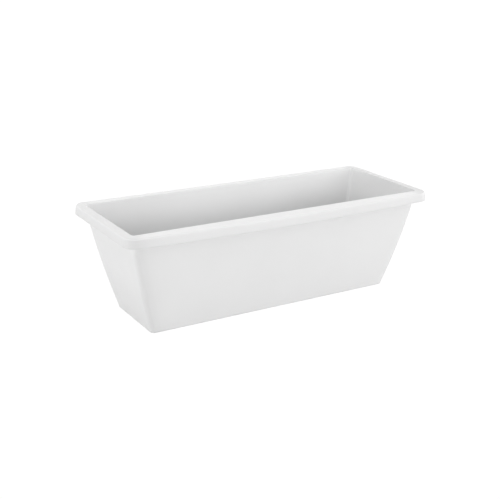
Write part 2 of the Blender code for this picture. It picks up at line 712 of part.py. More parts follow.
def make_insert():
    """Everything that lifts out of the trough in one go."""
    insert = carrier("insert", (0.0, 0.0, 0.0))
    for name, side in (("separator_left", -1.0), ("separator_right", 1.0)):
        attach(make_separator(name, side), insert)
    for number, x in enumerate(CUP_X, start=1):
        attach(make_cup(number, x), insert)
    for piece in (make_shaft(), make_pin(), make_gauge_tube(), make_gauge_cap()):
        attach(piece, insert)
    hinge = carrier("fill_lid_hinge", (STATION_X + HINGE_REACH, STATION_Y, HINGE_Z))
    attach(make_lid(), hinge)
    attach(hinge, insert)
    slide = carrier("float_slide", (-STATION_X, STATION_Y, 0.0))
    attach(make_float(), slide)
    attach(make_stem(), slide)
    attach(slide, insert)


clear_scene()
PARTS = collection("self_watering_planter")
TOOLS = collection("cutters")
make_trough()
make_insert()
make_overflow_stopper()
make_drain_plug()
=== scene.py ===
import math

import bmesh
import bpy
from mathutils import Matrix, Vector


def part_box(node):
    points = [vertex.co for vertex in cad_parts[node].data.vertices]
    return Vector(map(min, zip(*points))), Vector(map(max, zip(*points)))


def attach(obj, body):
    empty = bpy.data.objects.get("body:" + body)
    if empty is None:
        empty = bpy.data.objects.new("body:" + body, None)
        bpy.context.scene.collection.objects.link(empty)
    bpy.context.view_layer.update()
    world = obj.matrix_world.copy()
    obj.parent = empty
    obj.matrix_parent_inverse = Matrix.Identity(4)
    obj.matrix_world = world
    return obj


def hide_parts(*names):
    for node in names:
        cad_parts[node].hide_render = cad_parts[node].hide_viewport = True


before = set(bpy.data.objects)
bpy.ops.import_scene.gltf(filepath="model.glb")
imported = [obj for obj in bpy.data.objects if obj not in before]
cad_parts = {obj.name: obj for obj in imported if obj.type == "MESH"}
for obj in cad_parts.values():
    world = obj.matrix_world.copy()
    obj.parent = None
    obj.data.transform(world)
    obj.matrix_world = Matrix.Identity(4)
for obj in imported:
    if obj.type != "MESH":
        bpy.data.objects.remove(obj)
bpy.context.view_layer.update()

MM = 0.001
GAP = 0.3 * MM                             # clearance between pieces that touch

# --- sizes taken from the frame ------------------------------------------------------------------

TROUGH_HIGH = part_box("planter_box")[1]
RIM_HALF = (TROUGH_HIGH.x, TROUGH_HIGH.y)
HEIGHT = TROUGH_HIGH.z
PLATE_LOW, PLATE_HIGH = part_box("separator_left")
PLATE_HALF = (-PLATE_LOW.x, PLATE_HIGH.y)
LEG_BOTTOM = PLATE_LOW.z
LIP_TOP = PLATE_HIGH.z


def middle(node):
    low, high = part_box(node)
    return (low + high) / 2.0


# --- sizes of the moulded trough that the CAD source has too -------------------------------------

WALL = 2.8 * MM
BASE_HALF = (241.5 * MM, 68.6 * MM)        # outside half length and half width at the base
WALL_TOP_HALF = (284.3 * MM, 97.5 * MM)    # the same, where the skirt's lower edge hangs
WALL_BOW = 2.2 * MM                        # how far the walls belly out half way up
WALL_CORNER = 8.5 * MM
INNER_CORNER = 5.0 * MM
BASE_ROUND = 3.5 * MM
HEEL_WIDTH = 9.0 * MM                      # the ring that the trough stands on, round a recessed base
HEEL_HEIGHT = 2.0 * MM
FLOOR_ROUND = 3.0 * MM
RIM_CORNER = 20.0 * MM
RIM_ROUND = 3.5 * MM
RIM_THICK = 3.0 * MM
LIP_ROUND = 1.0 * MM
SKIRT_DEPTH = 16.2 * MM
SKIRT_WALL = 2.5 * MM
SKIRT_DRAFT = 1.0 * MM                     # how much further out the skirt's lower edge stands
FRONT_SAG = 3.4 * MM                       # how much lower the flange's edge hangs at mid span
BACK_SAG = 0.5 * MM
SKIRT_Z = HEIGHT - SKIRT_DEPTH
FLOOR_Z = HEEL_HEIGHT + WALL
RIB_WIDTH = 3.0 * MM
RIB_PITCH = 80.0 * MM
RIB_COUNT = 5

# --- its finer detail ----------------------------------------------------------------------------

SKIRT_EDGE = 0.3 * MM                      # rounding of the skirt's lower edge
GATE_RADIUS = 6.0 * MM                     # the moulding gate's disc, under the base
COLLAR_FLARE = 1.6 * MM                    # how far the back wall's bosses spread where they meet it

# How painted light and shade change the trough's colour from place to place, as shares of it. A
# painted shade takes away and a painted glow adds. A pair of places says where one sets in and where
# it is full, and a fade is the distance over which one dies out.
CORNER_SHADE = 0.065                       # painted shade outside, at the left corners: a narrow one
CORNER_FADE = 12.0 * MM
LONG_SHADE = 0.035                         # and a wide one
LONG_FADE = 60.0 * MM
END_GLOW = 0.04                            # painted light high on the end walls, outside
END_GLOW_Z = (30.0 * MM, 110.0 * MM)
SKIRT_SHADE = 0.06                         # painted shade on the skirt
SKIRT_TOP_GLOW = 0.035                     # which is fainter towards the rim
SKIRT_TOP = (3.0 * MM, 11.0 * MM)          # above the skirt's lower edge
UNDERCUT_GLOW = 0.19                       # painted light on the wall, from just below the skirt downwards
UNDERCUT_DROP = 6.7 * MM
UNDERCUT_FADE = 7.5 * MM
FRONT_RIM_GLOW = 0.055                     # a painted highlight along the front of the rim
END_RIM_SHADE = 0.085                      # painted shade on the rim's ends, more on the right one
END_RIM_SLOPE = 0.035
END_RIM_X = (WALL_TOP_HALF[0] - 25.0 * MM, WALL_TOP_HALF[0] + 5.0 * MM)
INSIDE_SHADED_TONE = 0.85                         # inside, next to the false floor: the tone there, darkened by painted shade
LONG_TOP_GLOW = 0.27                       # painted light high on the long walls
LONG_TOP_Z = (95.0 * MM, 165.0 * MM)
# painted shade towards the left of the inner long walls, and painted light low towards the right
LONG_LEFT_SHADE = 0.1
LONG_LEFT_X = (-60.0 * MM, -270.0 * MM)
LONG_RIGHT_GLOW = 0.05
LONG_RIGHT_X = (150.0 * MM, 270.0 * MM)
END_TOP_GLOW = 0.12                        # painted light high on the end walls, inside
END_TOP_Z = (95.0 * MM, 150.0 * MM)
END_LIP_SHADE = 0.05                       # painted shade next to the rim
END_LIP_Z = (155.0 * MM, 185.0 * MM)
END_BACK_GLOW = 0.15                       # painted light towards the back of the end walls
STRIPE_GLOW = 0.09                         # painted highlights down the rounded corners
STRIPE_TURN = 14.0                         # how far from each wall the stripe's middle is, in degrees
STRIPE_SPREAD = 9.0

# --- sizes of the watering parts, mostly as in the CAD source ------------------------------------

# the holes in the back wall: node in the hole, height, hole and boss radius, boss's inner and outer Y
OVERFLOW = ("overflow_stopper", 52.0 * MM, 6.0 * MM, 9.0 * MM, 76.8 * MM, 86.0 * MM)
DRAIN = ("drain_plug", 17.0 * MM, 5.0 * MM, 8.0 * MM, 70.0 * MM, 80.0 * MM)
PLUG_HEAD = 2.2 * MM
PLUG_KNOB = 4.0 * MM
DRAIN_STEM_END = 67.5 * MM
GASKET_THICK = 1.5 * MM

# the watering insert
PLATE_Z = 57.5 * MM
PLATE_TOP = 60.0 * MM
LIP_WALL = 2.0 * MM
PLATE_CORNER = 6.0 * MM
LEG_FOOT = 6.0 * MM
LEG_HEAD = 8.0 * MM
LEG_X = (22.0 * MM, 106.0 * MM, 184.0 * MM)
LEG_Y = 52.0 * MM
TAB_LENGTH = 14.0 * MM
TAB_WIDTH = 12.0 * MM
TAB_THICK = 2.5 * MM
TAB_Y = 30.0 * MM
SLOT = (3.0 * MM, 15.0 * MM)               # width and length
SLOT_PITCH = (15.0 * MM, 24.0 * MM)
SLOT_COLUMNS = 16
SLOT_ROWS = 6
CUPS = ("wick_cup_1", "wick_cup_2", "wick_cup_3", "wick_cup_4")
CUP_TOP = 29.0 * MM
CUP_FOOT = 20.0 * MM
CUP_WALL = 2.0 * MM
CUP_FLANGE = 33.0 * MM
CUP_CLEARANCE = 4.5 * MM                   # under the cups
CUP_SLOTS = 8
CUP_SLOT = (3.0 * MM, 29.0 * MM)           # width and length
CUP_SLOT_Z = 31.5 * MM
CUP_HOLE = 2.0 * MM                        # radius of the five holes in a cup's foot
CUP_HOLE_PITCH = 10.0 * MM
FLANGE_THICK = 2.0 * MM
STATION_X = 215.0 * MM                     # the filling tube is this far right, the gauge this far left
STATION_Y = -46.0 * MM
SHAFT_RADIUS = 16.0 * MM
SHAFT_WALL = 2.5 * MM
SHAFT_TOP = 148.0 * MM
SHAFT_FLANGE = 21.0 * MM
NOTCH = (8.0 * MM, 12.0 * MM)              # width and height, in the filling tube's foot
HINGE_REACH = 20.2 * MM                    # from the filling tube's axis to the hinge pin's
HINGE_Z = 149.8 * MM
PIN_RADIUS = 1.0 * MM
EAR_INNER = 4.0 * MM                       # the ears' faces, from the hinge's middle
EAR_OUTER = 6.5 * MM
EAR_HALF = 2.3 * MM
EAR_DROP = 4.3 * MM
KNUCKLE_RADIUS = 2.6 * MM
LID_RADIUS = 17.0 * MM
LID_THICK = 3.0 * MM
LID_PLUG = (11.2 * MM, 12.7 * MM)          # inner and outer radius of the collar that enters the tube
GAUGE_RADIUS = 13.0 * MM
GAUGE_WALL = 2.0 * MM
GAUGE_TOP = 105.0 * MM
GAUGE_FLANGE = 18.0 * MM
GAUGE_FOOT = 8.0 * MM
GAUGE_INLET = 7.0 * MM                     # radius of the opening in the tube's foot
FLAG_RADIUS = 8.5 * MM
FLAG_THICK = 7.0 * MM
FLOAT_SOCKET = 12.0 * MM                   # depth of the stem's hole in the float
CAP_TOP = 152.0 * MM
FLOAT_RADIUS = 10.2 * MM
FLOAT_BOTTOM = 10.3 * MM
FLOAT_TOP = 38.0 * MM
STEM_RADIUS = 1.6 * MM

CORNER_STEPS = 14
LONG_STEPS = 40
SHORT_STEPS = 14
WALL_STEPS = 40
TURN_STEPS = 96
SMALL_STEPS = 32
SMOOTH_ANGLE = math.radians(38.0)


# --- mesh tools ----------------------------------------------------------------------------------

def new_object(name, data):
    made = bpy.data.objects.new(name, data)
    bpy.context.scene.collection.objects.link(made)
    return made


def mesh_from(bm, name):
    bmesh.ops.recalc_face_normals(bm, faces=bm.faces)
    mesh = bpy.data.meshes.new(name)
    bm.to_mesh(mesh)
    bm.free()
    mesh.shade_smooth()
    mesh.set_sharp_from_angle(angle=SMOOTH_ANGLE)
    return mesh


def skin(levels_of_points, name):
    """Skin a stack of closed outlines and close the first and the last with a flat face."""
    bm = bmesh.new()
    levels = [[bm.verts.new(point) for point in outline] for outline in levels_of_points]
    count = len(levels[0])
    for lower, upper in zip(levels, levels[1:]):
        for index in range(count):
            after = (index + 1) % count
            bm.faces.new((lower[index], lower[after], upper[after], upper[index]))
    bm.faces.new(list(reversed(levels[0])))
    bm.faces.new(levels[-1])
    return mesh_from(bm, name)


def fillet(section, steps=5, closed=False):
    """Round a section's corners. Each point is radius, height and, where it is rounded, fillet."""
    count = len(section)
    rounded = []
    for index, corner in enumerate(section):
        here = Vector(corner[:2])
        size = corner[2] if len(corner) > 2 else 0.0
        at_end = not closed and index in (0, count - 1)
        if size == 0.0 or at_end:
            rounded.append(here)
            continue
        before = Vector(section[index - 1][:2])
        after = Vector(section[(index + 1) % count][:2])
        to_before = (before - here).normalized()
        to_after = (after - here).normalized()
        half = to_before.angle(to_after) / 2.0
        reach = size / math.tan(half)
        reach = min(reach, 0.49 * (before - here).length, 0.49 * (after - here).length)
        radius = reach * math.tan(half)
        centre = here + (to_before + to_after).normalized() * (radius / math.sin(half))
        start = here + to_before * reach - centre
        sweep = start.angle_signed(here + to_after * reach - centre)
        for step in range(steps + 1):
            turn = Matrix.Rotation(-sweep * step / steps, 2)
            rounded.append(centre + turn @ start)
    return [(max(point.x, 0.0), point.y) for point in rounded]


def lathe(name, section, steps=TURN_STEPS, closed=False):
    """Turn a section round Z. A point on the axis becomes a single vertex."""
    bm = bmesh.new()
    rows = []
    for radius, height in section:
        if radius < 1e-6:
            rows.append([bm.verts.new((0.0, 0.0, height))])
            continue
        angles = [2.0 * math.pi * step / steps for step in range(steps)]
        rows.append([bm.verts.new((radius * math.cos(a), radius * math.sin(a), height)) for a in angles])
    pairs = list(zip(rows, rows[1:]))
    if closed:
        pairs.append((rows[-1], rows[0]))
    for one, two in pairs:
        for step in range(steps):
            after = (step + 1) % steps
            corners = [one[step % len(one)], one[after % len(one)],
                       two[after % len(two)], two[step % len(two)]]
            unique = list(dict.fromkeys(corners))
            if len(unique) > 2:
                bm.faces.new(unique)
    return mesh_from(bm, name)


def flat_spline(curve, outline):
    spline = curve.splines.new("POLY")
    spline.points.add(len(outline) - 1)
    for point, (x, y) in zip(spline.points, outline):
        point.co = (x, y, 0.0, 1.0)
    spline.use_cyclic_u = True


def plate_mesh(name, outlines, low, high, edge=0.0):
    """A flat plate from outlines, the first one outside and the rest holes, with rounded edges."""
    curve = bpy.data.curves.new(name, "CURVE")
    curve.dimensions = "2D"
    curve.fill_mode = "BOTH"
    curve.extrude = (high - low) / 2.0 - edge
    curve.bevel_depth = edge
    curve.bevel_resolution = 2
    curve.offset = -edge
    for outline in outlines:
        flat_spline(curve, outline)
    draft = new_object(name, curve)
    draft.location.z = (low + high) / 2.0
    bpy.context.view_layer.update()
    graph = bpy.context.evaluated_depsgraph_get()
    mesh = bpy.data.meshes.new_from_object(draft.evaluated_get(graph))
    mesh.transform(draft.matrix_world)
    bpy.data.objects.remove(draft, do_unlink=True)
    bm = bmesh.new()
    bm.from_mesh(mesh)
    bmesh.ops.remove_doubles(bm, verts=bm.verts, dist=0.01 * MM)
    bpy.data.meshes.remove(mesh)
    return mesh_from(bm, name)


def arc(centre_x, centre_y, radius, first, last, steps):
    turns = [first + (last - first) * step / steps for step in range(steps + 1)]
    return [(centre_x + radius * math.cos(a), centre_y + radius * math.sin(a)) for a in turns]


def circle(x, y, radius, steps=TURN_STEPS):
    return arc(x, y, radius, 0.0, 2.0 * math.pi * (steps - 1) / steps, steps - 1)


def obround(x, y, width, length, steps=8):
    """A slot with round ends, its length along Y."""
    reach = (length - width) / 2.0
    return (arc(x, y + reach, width / 2.0, 0.0, math.pi, steps)
            + arc(x, y - reach, width / 2.0, math.pi, 2.0 * math.pi, steps))


def rounded_box(low, high, edge):
    bm = bmesh.new()
    size = Vector(high) - Vector(low)
    centre = (Vector(high) + Vector(low)) / 2.0
    bmesh.ops.create_cube(bm, size=1.0, matrix=Matrix.Translation(centre) @ Matrix.Diagonal((*size, 1.0)))
    bmesh.ops.bevel(bm, geom=bm.edges[:] + bm.verts[:], offset=edge, segments=3, profile=0.5,
                    affect="EDGES", clamp_overlap=True)
    return mesh_from(bm, "box")


def along_y(x, z):
    """Places a turned shape on its side, its axis along +Y."""
    return Matrix.Translation((x, 0.0, z)) @ Matrix.Rotation(-math.pi / 2.0, 4, "X")


def upright(x, y, z):
    """Stands a flat outline up, so that its Y becomes height and its thickness runs along Y."""
    return Matrix.Translation((x, y, z)) @ Matrix.Rotation(math.pi / 2.0, 4, "X")


def turned_about_z(quarter_turns):
    return Matrix.Rotation(math.pi / 2.0 * quarter_turns, 4, "Z")


def combine(target, tool_mesh, operation, place=None):
    """Join or cut a piece with a helper mesh, once and for all."""
    tool = new_object("tool", tool_mesh)
    if place is not None:
        tool.matrix_world = place
    step = target.modifiers.new("step", "BOOLEAN")
    step.operation = operation
    step.object = tool
    step.solver = "EXACT"
    bpy.context.view_layer.update()
    graph = bpy.context.evaluated_depsgraph_get()
    made = bpy.data.meshes.new_from_object(target.evaluated_get(graph))
    target.modifiers.remove(step)
    old = target.data
    target.data = made
    made.name = old.name
    bpy.data.objects.remove(tool, do_unlink=True)
    if old.users == 0:
        bpy.data.meshes.remove(old)
    if tool_mesh.users == 0:
        bpy.data.meshes.remove(tool_mesh)
    made.shade_smooth()
    made.set_sharp_from_angle(angle=SMOOTH_ANGLE)


def even_normals(obj):
    weighted = obj.modifiers.new("even_normals", "WEIGHTED_NORMAL")
    weighted.mode = "FACE_AREA"
    weighted.keep_sharp = True


def stand_for(obj, body, material, slot, *nodes):
    """Put a finished piece in the model: what it is made of, what it rides on, what it stands for."""
    obj.data.materials.clear()
    obj.data.materials.append(material)
    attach(obj, body)
    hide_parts(*nodes)


# --- materials -----------------------------------------------------------------------------------

def node(tree, kind, **settings):
    made = tree.nodes.new(kind)
    for name, value in settings.items():
        if hasattr(made, name):
            setattr(made, name, value)
        else:
            made.inputs[name.replace("_", " ")].default_value = value
    return made


def noise(tree, place, scale, detail, roughness):
    made = node(tree, "ShaderNodeTexNoise", Scale=scale, Detail=detail, Roughness=roughness)
    tree.links.new(place.outputs["Object"], made.inputs["Vector"])
    return made.outputs["Fac"]


def spread(tree, value, low, high):
    """Spreads the middle of a noise's range over the values from low to high."""
    made = node(tree, "ShaderNodeMapRange", From_Min=0.3, From_Max=0.7, To_Min=low, To_Max=high)
    tree.links.new(value, made.inputs["Value"])
    return made.outputs["Result"]


def multiplied_by(tree, factor):
    """A node that multiplies the colour at its input A by a factor."""
    made = node(tree, "ShaderNodeMix", data_type="RGBA", blend_type="MULTIPLY")
    made.inputs["Factor"].default_value = 1.0
    tree.links.new(factor, made.inputs["B"])
    return made


def bump(tree, height, strength, distance):
    made = node(tree, "ShaderNodeBump", Strength=strength, Distance=distance)
    tree.links.new(height, made.inputs["Height"])
    return made


def moulded(name, colour, roughness, grain=0.02 * MM, mottle=0.02, translucency=0.0,
            transmission=0.0, painted_shading_attribute=None):
    """Moulded plastic: a spark-eroded grain, faint flow marks, and slight changes of tone and gloss."""
    material = bpy.data.materials.new(name)
    material.use_nodes = True
    tree = material.node_tree
    shader = tree.nodes["Principled BSDF"]
    place = node(tree, "ShaderNodeTexCoord")
    tint = multiplied_by(tree, spread(tree, noise(tree, place, 9.0, 3.0, 0.5), 1.0 - mottle, 1.0))
    tint.inputs["A"].default_value = (*colour, 1.0)
    # the tone stored at each point is painted light and shade, which multiplies the colour
    if painted_shading_attribute:
        stored = node(tree, "ShaderNodeAttribute", attribute_name=painted_shading_attribute)
        shade = multiplied_by(tree, stored.outputs["Fac"])
        tree.links.new(tint.outputs["Result"], shade.inputs["A"])
        tint = shade
    gloss = spread(tree, noise(tree, place, 34.0, 4.0, 0.6), roughness - 0.05, roughness + 0.06)
    fine = bump(tree, noise(tree, place, 1400.0, 2.0, 0.55), 0.6, grain)
    waves = bump(tree, noise(tree, place, 22.0, 2.0, 0.4), 0.5, 0.12 * MM)
    tree.links.new(fine.outputs["Normal"], waves.inputs["Normal"])
    tree.links.new(tint.outputs["Result"], shader.inputs["Base Color"])
    tree.links.new(gloss, shader.inputs["Roughness"])
    tree.links.new(waves.outputs["Normal"], shader.inputs["Normal"])
    shader.inputs["Specular IOR Level"].default_value = 0.5
    shader.inputs["Subsurface Weight"].default_value = translucency
    shader.inputs["Subsurface Radius"].default_value = (1.0, 1.0, 1.0)
    shader.inputs["Subsurface Scale"].default_value = 2.0 * MM
    shader.inputs["Transmission Weight"].default_value = transmission
    return material


# --- trough --------------------------------------------------------------------------------------

def sag(x, y):
    """How far the flange's outer edge hangs at a point: most at mid span of the long sides."""
    span = RIM_HALF[0] - RIM_CORNER
    depth = FRONT_SAG if y < 0.0 else BACK_SAG
    return depth * max(0.0, math.cos(math.pi * x / (2.0 * span)))


def ring(half, corner, z, hang=0.0):
    """One outline of the trough, anticlockwise from above; hang is its share of the flange's sag."""
    points = []
    corners = ((1, 1), (-1, 1), (-1, -1), (1, -1))
    for index, (sign_x, sign_y) in enumerate(corners):
        centre = Vector((sign_x * (half[0] - corner), sign_y * (half[1] - corner)))
        for step in range(CORNER_STEPS + 1):
            angle = math.pi / 2.0 * (index + step / CORNER_STEPS)
            points.append(centre + Vector((math.cos(angle), math.sin(angle))) * corner)
        steps = LONG_STEPS if index % 2 == 0 else SHORT_STEPS
        next_x, next_y = corners[(index + 1) % 4]
        start = points[-1]
        turn_angle = math.pi / 2.0 * (index + 1)
        end = Vector((next_x * (half[0] - corner), next_y * (half[1] - corner)))
        end += Vector((math.cos(turn_angle), math.sin(turn_angle))) * corner
        points += [start.lerp(end, step / steps) for step in range(1, steps)]
    return [(p.x, p.y, z - hang * sag(p.x, p.y)) for p in points]


def wall_half(z, inset=0.0):
    """The wall's half length and half width at a height, measured outside, less an inset."""
    part = z / SKIRT_Z
    belly = WALL_BOW * math.sin(math.pi * part)
    return tuple(low + (high - low) * part + belly - inset for low, high in zip(BASE_HALF, WALL_TOP_HALF))


def shrink(half, amount):
    return (half[0] - amount, half[1] - amount)


def quarter(steps):
    """Sine and cosine along a quarter turn, both ends included."""
    angles = [math.pi / 2.0 * step / steps for step in range(steps + 1)]
    return [(math.sin(angle), math.cos(angle)) for angle in angles]


def under_base():
    """The recessed underside and the heel ring's inner edge."""
    edge = 0.6 * MM
    lean = 0.5 * MM
    corner = WALL_CORNER / 2.0
    recess = shrink(BASE_HALF, HEEL_WIDTH)
    rings = [ring(recess, corner, HEEL_HEIGHT), ring(shrink(recess, -0.7 * lean), corner, edge)]
    for sine, _ in quarter(3):
        rings.append(ring(shrink(recess, -lean - edge * sine), corner, edge * (1.0 - sine)))
    return rings


def outer_wall():
    rings = []
    for sine, cosine in quarter(7):
        half = shrink(wall_half(BASE_ROUND), BASE_ROUND * (1.0 - sine))
        rings.append(ring(half, WALL_CORNER - BASE_ROUND * (1.0 - sine), BASE_ROUND * (1.0 - cosine)))
    root = 2.0 * MM
    top = HEIGHT - RIM_THICK - root
    for level in range(1, WALL_STEPS + 1):
        z = BASE_ROUND + (top - BASE_ROUND) * level / WALL_STEPS
        rings.append(ring(wall_half(z), WALL_CORNER, z))
    for sine, cosine in quarter(4)[1:]:
        half = shrink(wall_half(top + root * sine), -root * (1.0 - cosine))
        rings.append(ring(half, WALL_CORNER + root * (1.0 - cosine), top + root * sine))
    return rings


def skirt():
    """The channel's roof from below, and the skirt's inside, lower edge and outside."""
    rings = []
    underside = HEIGHT - RIM_THICK
    root = 1.2 * MM
    edge = SKIRT_EDGE
    inner = shrink(RIM_HALF, SKIRT_WALL)
    upper = shrink(inner, SKIRT_DRAFT)
    corner = RIM_CORNER - SKIRT_WALL
    for sine, cosine in quarter(4):
        rings.append(ring(shrink(upper, root * (1.0 - sine)), corner - root * (1.0 - sine),
                          underside - root * (1.0 - cosine), 1.0))
    rings.append(ring(shrink(inner, SKIRT_DRAFT * 0.1), corner, SKIRT_Z + edge, 1.0))
    for sine, cosine in quarter(4)[1:]:
        rings.append(ring(shrink(inner, -edge * (1.0 - cosine)), corner + edge * (1.0 - cosine),
                          SKIRT_Z + edge * (1.0 - sine), 1.0))
    for sine, cosine in quarter(4):
        rings.append(ring(shrink(RIM_HALF, edge * (1.0 - sine)), RIM_CORNER - edge * (1.0 - sine),
                          SKIRT_Z + edge * (1.0 - cosine), 1.0))
    return rings


def rim_top():
    rings = []
    crown = shrink(RIM_HALF, SKIRT_DRAFT)
    for sine, cosine in quarter(10):
        inset = RIM_ROUND * (1.0 - cosine)
        rings.append(ring(shrink(crown, inset), RIM_CORNER - inset, HEIGHT - RIM_ROUND * (1.0 - sine), 1.0))
    mouth = wall_half(HEIGHT - LIP_ROUND, WALL)
    lip = shrink(mouth, -LIP_ROUND)
    outer = shrink(crown, RIM_ROUND)
    for share in (0.25, 0.5, 0.75):
        half = tuple(a + (b - a) * share for a, b in zip(outer, lip))
        corner = RIM_CORNER - RIM_ROUND + (INNER_CORNER + LIP_ROUND - RIM_CORNER + RIM_ROUND) * share
        rings.append(ring(half, corner, HEIGHT, 1.0 - share))
    for sine, cosine in quarter(8):
        inset = LIP_ROUND * (1.0 - sine)
        rings.append(ring(shrink(mouth, -inset), INNER_CORNER + inset, HEIGHT - LIP_ROUND * (1.0 - cosine)))
    return rings


def inner_wall():
    rings = []
    floor_top = FLOOR_Z + FLOOR_ROUND
    for level in range(WALL_STEPS - 1, -1, -1):
        z = floor_top + (HEIGHT - LIP_ROUND - floor_top) * level / WALL_STEPS
        rings.append(ring(wall_half(z, WALL), INNER_CORNER, z))
    for sine, cosine in quarter(6)[1:]:
        half = shrink(wall_half(floor_top, WALL), FLOOR_ROUND * (1.0 - cosine))
        rings.append(ring(half, INNER_CORNER - FLOOR_ROUND * (1.0 - cosine), floor_top - FLOOR_ROUND * sine))
    return rings


def smooth_step(low, high, value):
    """0 at low and before it, 1 at high and past it, and a smooth rise between them."""
    share = min(1.0, max(0.0, (value - low) / (high - low)))
    return share * share * (3.0 - 2.0 * share)


def beyond_wall(point):
    """Whether a point is further out than the walls ever are, and so on the rim or the skirt."""
    margin = 2.0 * MM
    return abs(point.x) > WALL_TOP_HALF[0] + margin or abs(point.y) > WALL_TOP_HALF[1] + margin


def inside_painted_shading(point, across):
    """Painted light and shade on the inner walls: palest high on the long walls, deeper towards the false
    floor and the ends.
    """
    # painted light high up, painted shade towards the false floor and the left
    height_share = smooth_step(*LONG_TOP_Z, point.z)
    right_glow = LONG_RIGHT_GLOW * (1.0 - height_share) * smooth_step(*LONG_RIGHT_X, point.x)
    long_side = INSIDE_SHADED_TONE + LONG_TOP_GLOW * height_share + right_glow
    long_side -= LONG_LEFT_SHADE * smooth_step(*LONG_LEFT_X, point.x)
    if across.length < 0.1:
        return long_side
    side = across.normalized()
    end_side = INSIDE_SHADED_TONE + END_TOP_GLOW * smooth_step(*END_TOP_Z, point.z)
    end_side -= END_LIP_SHADE * smooth_step(*END_LIP_Z, point.z)
    end_side += END_BACK_GLOW * max(0.0, point.y / WALL_TOP_HALF[1]) ** 2
    value = long_side + (end_side - long_side) * side.x * side.x
    turn = math.degrees(math.atan2(abs(side.y), abs(side.x)))
    # painted highlights down the rounded corners
    if 0.5 < turn < 89.5:
        nearest = min(turn, 90.0 - turn)
        value += STRIPE_GLOW * math.exp(-((nearest - STRIPE_TURN) / STRIPE_SPREAD) ** 2)
    return value


def outside_painted_shading(point, across):
    """Painted light and shade on the outer walls and the skirt: deeper at the left corners and on the skirt,
    palest just below it.
    """
    upright_share = across.length
    turn = math.atan2(abs(across.y), abs(across.x))
    on_skirt = beyond_wall(point) and point.z > SKIRT_Z - FRONT_SAG
    straight = RIM_HALF[0] - RIM_CORNER if on_skirt else wall_half(point.z)[0] - WALL_CORNER
    from_corner = max(0.0, straight - abs(point.x))
    # painted shade beside the left corners, a narrow band and a wide one
    along = CORNER_SHADE * math.exp(-from_corner / CORNER_FADE)
    along += LONG_SHADE * math.exp(-from_corner / LONG_FADE)
    value = 1.0 - along * upright_share * math.sin(turn) * (point.x < 0.0)
    if on_skirt:
        # painted shade on the skirt, fainter towards the rim
        height = point.z + sag(point.x, point.y) - SKIRT_Z
        shade = SKIRT_SHADE - SKIRT_TOP_GLOW * smooth_step(*SKIRT_TOP, height)
        return value - upright_share * shade
    # painted light high on the end walls
    value += END_GLOW * upright_share * math.cos(turn) ** 2 * smooth_step(*END_GLOW_Z, point.z)
    # painted light on the wall just below the skirt, fading downwards
    below = SKIRT_Z - sag(point.x, point.y) - UNDERCUT_DROP - point.z
    return value + UNDERCUT_GLOW * math.exp(-max(0.0, below) / UNDERCUT_FADE)


def rim_painted_shading(point, normal):
    """Painted light and shade on the top of the rim: paler along the front, deeper at the ends."""
    end_share = smooth_step(*END_RIM_X, abs(point.x))
    # a painted highlight along the front, painted shade at the ends
    long_side = FRONT_RIM_GLOW * (point.y < 0.0)
    end_side = -END_RIM_SHADE - END_RIM_SLOPE * point.x / RIM_HALF[0]
    return 1.0 + smooth_step(0.5, 1.0, normal.z) * (long_side + (end_side - long_side) * end_share)


def paint_light_and_shade(obj):
    """Stores painted light and shade as a tone at each point of the trough, which its material multiplies
    its colour by.
    """
    mesh = obj.data
    tone = mesh.attributes.new("tone", "FLOAT", "POINT")
    values = []
    for vertex in mesh.vertices:
        point, normal = vertex.co, vertex.normal
        across = Vector((normal.x, normal.y))
        if point.z > SKIRT_Z + 6.0 * MM and normal.z > 0.4:
            values.append(rim_painted_shading(point, normal))
        elif across.dot(point.xy) > 0.0:
            values.append(outside_painted_shading(point, across))
        else:
            values.append(inside_painted_shading(point, across))
    tone.data.foreach_set("value", values)


def make_trough():
    levels = under_base() + outer_wall() + skirt() + rim_top() + inner_wall()
    trough = new_object("trough", skin(levels, "trough"))
    reach = BASE_HALF[1] - HEEL_WIDTH / 2.0
    for index in range(RIB_COUNT):
        x = (index - (RIB_COUNT - 1) / 2.0) * RIB_PITCH
        rib = rounded_box((x - RIB_WIDTH / 2.0, -reach, 0.4 * MM),
                          (x + RIB_WIDTH / 2.0, reach, HEEL_HEIGHT + 1.5 * MM), 0.5 * MM)
        combine(trough, rib, "UNION")
    gate = fillet([(0.0, 3.0 * MM), (GATE_RADIUS, 3.0 * MM), (GATE_RADIUS, 1.3 * MM, 0.4 * MM),
                   (1.6 * MM, 1.3 * MM), (1.4 * MM, 0.7 * MM, 0.3 * MM), (0.0, 0.7 * MM)])
    combine(trough, lathe("gate", gate, 48), "UNION", Matrix.Translation((RIB_PITCH / 2.0, 0.0, 0.0)))
    for plug, z, hole, boss, inner_y, outer_y in (OVERFLOW, DRAIN):
        x = middle(plug).x
        root = boss + COLLAR_FLARE
        collar = fillet([(0.0, outer_y), (boss, outer_y, 0.8 * MM), (boss, inner_y + 5.0 * MM, 2.0 * MM),
                         (root, inner_y + 1.0 * MM), (root - 1.0 * MM, inner_y), (0.0, inner_y)])
        combine(trough, lathe("collar", collar), "UNION", along_y(x, z))
        chamfer = 0.7 * MM
        outside = outer_y + 4.0 * MM
        inside = inner_y - 12.0 * MM
        bore = [(0.0, outside), (hole + chamfer, outside), (hole + chamfer, outer_y),
                (hole, outer_y - chamfer), (hole, inside), (0.0, inside)]
        combine(trough, lathe("bore", bore), "DIFFERENCE", along_y(x, z))
    paint_light_and_shade(trough)
    even_normals(trough)
    return trough


# --- false floor ---------------------------------------------------------------------------------

